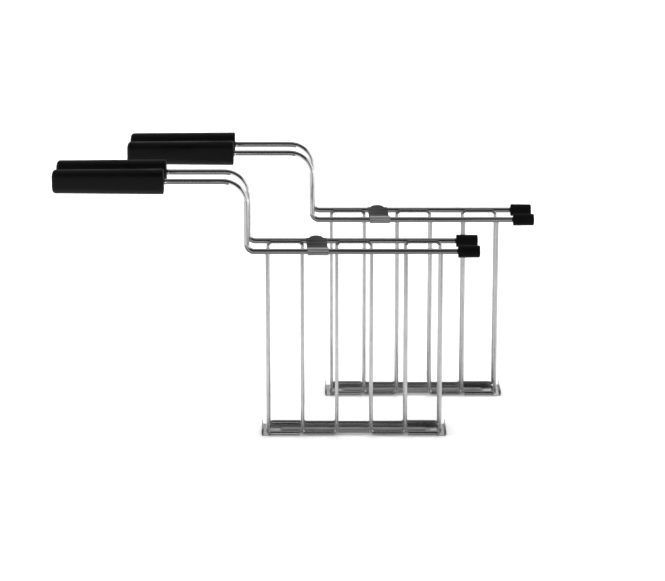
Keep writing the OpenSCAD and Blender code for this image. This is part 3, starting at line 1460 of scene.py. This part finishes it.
    def _floor(self) -> None:
        """The white floor, which keeps the racks' soft shadow."""
        half = self.floor_half
        floor = self._plane("white_floor", (-half, half, -half, half, -0.0001))
        graph = Graph("floor_white")
        cover = graph.add("ShaderNodeBsdfDiffuse")
        cover.inputs["Color"].default_value = (*grey(self.floor_cover), 1.0)
        away = graph.add("ShaderNodeVectorMath", operation="LENGTH")
        graph.join(graph.place(grey(1.0)), away.inputs[0])
        level = graph.span(
            away.outputs["Value"], 0.25, 1.5, self.glow_near, self.glow_far
        )
        strength = graph.add("ShaderNodeMath", operation="MULTIPLY")
        graph.join(self._seen_or_mirrored(graph.tree), strength.inputs[0])
        graph.join(level, strength.inputs[1])
        glow = graph.add("ShaderNodeEmission")
        glow.inputs["Color"].default_value = (1.0, 1.0, 1.0, 1.0)
        graph.join(strength.outputs[0], glow.inputs["Strength"])
        both = graph.add("ShaderNodeAddShader")
        graph.join(cover.outputs["BSDF"], both.inputs[0])
        graph.join(glow.outputs["Emission"], both.inputs[1])
        graph.tree.nodes.remove(graph.shader)
        graph.join(both.outputs["Shader"], graph.output.inputs["Surface"])
        floor.data.materials.append(graph.material)

    def _only_in_mirrors(self, piece: bpy.types.Object) -> None:
        """Leaves a card visible to glossy rays alone."""
        piece.visible_camera = False
        piece.visible_diffuse = False
        piece.visible_transmission = False
        piece.visible_volume_scatter = False
        piece.visible_shadow = False

    def _glow(self, piece: bpy.types.Object, level: float) -> None:
        """Gives a level card one plain brightness."""
        graph = Graph(f"{piece.name}_glow")
        glow = graph.add("ShaderNodeEmission")
        glow.inputs["Strength"].default_value = level
        graph.tree.nodes.remove(graph.shader)
        graph.join(glow.outputs["Emission"], graph.output.inputs["Surface"])
        piece.data.materials.append(graph.material)

    def _glow_by_angle(
        self,
        piece: bpy.types.Object,
        across: tuple[str, float],
        up: tuple[str, float],
        stops: Sequence[tuple[float, float]],
    ) -> None:
        """Gives a curved card a brightness that changes round its axis.

        Args:
            piece: the card.
            across: coordinate and sign that count as nought degrees.
            up: coordinate and sign that count as ninety degrees.
            stops: brightness by degrees, in rising order.
        """
        graph = Graph(f"{piece.name}_glow")
        split = graph.add("ShaderNodeSeparateXYZ")
        graph.join(graph.place(grey(1.0)), split.inputs[0])
        angle = graph.add("ShaderNodeMath", operation="ARCTAN2")
        graph.join(graph.sum((split.outputs[up[0]], up[1])), angle.inputs[0])
        graph.join(graph.sum((split.outputs[across[0]], across[1])), angle.inputs[1])
        low, high = stops[0][0], stops[-1][0]
        share = graph.span(
            angle.outputs[0], math.radians(low), math.radians(high), 0.0, 1.0
        )
        ramp = graph.add("ShaderNodeValToRGB")
        graph.join(share, ramp.inputs["Fac"])
        points = ramp.color_ramp.elements
        for point, (_, level) in zip(points, (stops[0], stops[-1])):
            point.color = (*grey(level), 1.0)
        points[0].position, points[1].position = 0.0, 1.0
        for degrees, level in stops[1:-1]:
            points.new((degrees - low) / (high - low)).color = (*grey(level), 1.0)
        glow = graph.add("ShaderNodeEmission")
        graph.join(ramp.outputs["Color"], glow.inputs["Color"])
        graph.tree.nodes.remove(graph.shader)
        graph.join(glow.outputs["Emission"], graph.output.inputs["Surface"])
        piece.data.materials.append(graph.material)

    def _arch(self) -> None:
        """A long dark arch over the racks, which gives polished rods their dark line."""
        half = self.arch_half_width
        foot = [(x, -self.arch_radius, 0.0) for x in (-half, half)]
        arch = self._spun("dark_arch", foot, (-1.0, 0.0, 0.0), 2 * QUARTER, 48)
        self._glow_by_angle(arch, ("Y", -1.0), ("Z", 1.0), self.arch_stops)

    def _ring(self) -> None:
        """A low ring round the racks, which the upright necks reflect."""
        foot = [(0.0, -self.ring_radius, z) for z in (0.0, self.ring_height)]
        ring = self._spun("low_ring", foot, (0.0, 0.0, 1.0), FULL_TURN, 96)
        self._glow_by_angle(ring, ("Y", -1.0), ("X", -1.0), self.ring_stops)

    def _lamp(
        self,
        name: str,
        place: Sequence[float],
        size: Sequence[float],
        power: float,
    ) -> None:
        """A soft panel that points at the racks.

        Args:
            name: its name.
            place: where it hangs, in metres.
            size: its two sides, in metres.
            power: its power in watts.
        """
        light = bpy.data.lights.new(name, "AREA")
        light.shape = "RECTANGLE"
        light.size, light.size_y = size
        light.energy = power
        lamp = bpy.data.objects.new(name, light)
        lamp.location = place
        aim = Vector((0.0, 0.0, 0.08)) - Vector(place)
        lamp.rotation_euler = aim.to_track_quat("-Z", "Y").to_euler()
        lamp.visible_glossy = False
        bpy.context.scene.collection.objects.link(lamp)


@dataclass(frozen=True)
class PhotoCamera:
    """The camera, as fitted to the edges of both racks in the photograph.

    Attributes:
        place: where it stands, in metres.
        pitch_deg: how far it looks down.
        lens: focal length for a 36 mm wide picture.
    """

    place: tuple[float, float, float] = (0.02393, -1.91565, 0.58515)
    pitch_deg: float = 14.417
    lens: float = 143.86

    def build(self) -> None:
        """Adds the camera and makes it the scene's own."""
        data = bpy.data.cameras.new("photo_camera")
        data.lens = self.lens
        data.sensor_width = 36.0
        data.clip_start, data.clip_end = 0.05, 50.0
        camera = bpy.data.objects.new("photo_camera", data)
        camera.location = self.place
        camera.rotation_euler = (QUARTER - math.radians(self.pitch_deg), 0.0, 0.0)
        bpy.context.scene.collection.objects.link(camera)
        bpy.context.scene.camera = camera


def corners(box: tuple[Vector, Vector]) -> list[list[float]]:
    """A box's two corners as plain lists."""
    return [list(corner) for corner in box]


def main() -> None:
    """Loads the frame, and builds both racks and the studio."""
    logging.basicConfig(level=logging.INFO, format="%(name)s: %(message)s")
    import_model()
    finishes = Finishes.make()
    for place in RACKS:
        for piece in SandwichRack(place, finishes).build():
            LOG.info("%s has %d faces", piece.name, len(piece.data.polygons))
    Studio().build()
    PhotoCamera().build()
    bpy.context.scene.view_settings.view_transform = "Standard"


if __name__ == "__main__":
    main()
